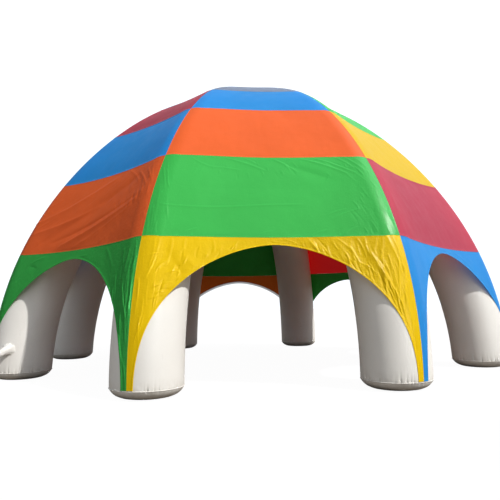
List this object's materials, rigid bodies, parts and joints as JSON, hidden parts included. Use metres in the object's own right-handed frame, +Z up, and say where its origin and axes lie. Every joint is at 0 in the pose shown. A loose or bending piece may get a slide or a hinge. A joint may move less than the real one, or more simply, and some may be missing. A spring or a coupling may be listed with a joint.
{
  "type": "inflatable spider tent",
  "caption": "Dome-shaped inflatable shelter: curved white air-tube legs that meet at the crown under a canopy of coloured cloth bands, with rounded archways between the legs.",
  "frame": {"origin": "on the ground, at the middle of the footprint's bounding box", "axes": "+Z up, the front archway (yellow, with the green band over it) faces -Y, +X to the right seen from the front"},
  "size_m": [12.9337, 12.4262, 8.3125],
  "materials": {
    "yellow_cloth": "thin coated woven nylon, slightly glossy and translucent",
    "green_cloth": "thin coated woven nylon, slightly glossy and translucent",
    "orange_cloth": "thin coated woven nylon, slightly glossy and translucent",
    "blue_cloth": "thin coated woven nylon, slightly glossy and translucent",
    "red_cloth": "thin coated woven nylon, slightly glossy and translucent",
    "grey_cloth": "thin coated woven nylon, slightly glossy and translucent",
    "white_vinyl": "coated airtight cloth, off-white, soft sheen"
  },
  "bodies": {
    "root": {"leg_1": "white_vinyl", "foot_1": "white_vinyl", "leg_2": "white_vinyl", "foot_2": "white_vinyl", "leg_3": "white_vinyl", "foot_3": "white_vinyl", "leg_4": "white_vinyl", "foot_4": "white_vinyl", "leg_5": "white_vinyl", "foot_5": "white_vinyl", "leg_6": "white_vinyl", "foot_6": "white_vinyl", "leg_7": "white_vinyl", "foot_7": "white_vinyl", "leg_8": "white_vinyl", "foot_8": "white_vinyl", "sleeve": "white_vinyl", "edge_tape_back": "white_vinyl", "cloth_front_arch": "yellow_cloth", "cloth_front_low": "green_cloth", "cloth_front_middle": "orange_cloth", "cloth_front_high": "blue_cloth", "cloth_front_crown": "grey_cloth", "cloth_front_right_arch": "blue_cloth", "cloth_front_right_low": "red_cloth", "cloth_front_right_middle": "yellow_cloth", "cloth_front_right_high": "green_cloth", "cloth_front_right_crown": "grey_cloth", "cloth_right_arch": "orange_cloth", "cloth_right_low": "yellow_cloth", "cloth_right_middle": "blue_cloth", "cloth_right_high": "red_cloth", "cloth_right_crown": "grey_cloth", "cloth_back_right_arch": "green_cloth", "cloth_back_right_low": "red_cloth", "cloth_back_right_middle": "orange_cloth", "cloth_back_right_high": "yellow_cloth", "cloth_back_right_crown": "grey_cloth", "cloth_back_arch": "orange_cloth", "cloth_back_low": "green_cloth", "cloth_back_middle": "red_cloth", "cloth_back_high": "blue_cloth", "cloth_back_crown": "grey_cloth", "cloth_back_left_arch": "blue_cloth", "cloth_back_left_low": "yellow_cloth", "cloth_back_left_middle": "green_cloth", "cloth_back_left_high": "orange_cloth", "cloth_back_left_crown": "grey_cloth", "cloth_left_arch": "yellow_cloth", "cloth_left_low": "blue_cloth", "cloth_left_middle": "red_cloth", "cloth_left_high": "green_cloth", "cloth_left_crown": "grey_cloth", "cloth_front_left_arch": "green_cloth", "cloth_front_left_low": "orange_cloth", "cloth_front_left_middle": "blue_cloth", "cloth_front_left_high": "red_cloth", "cloth_front_left_crown": "grey_cloth"}
  },
  "joints": []
}
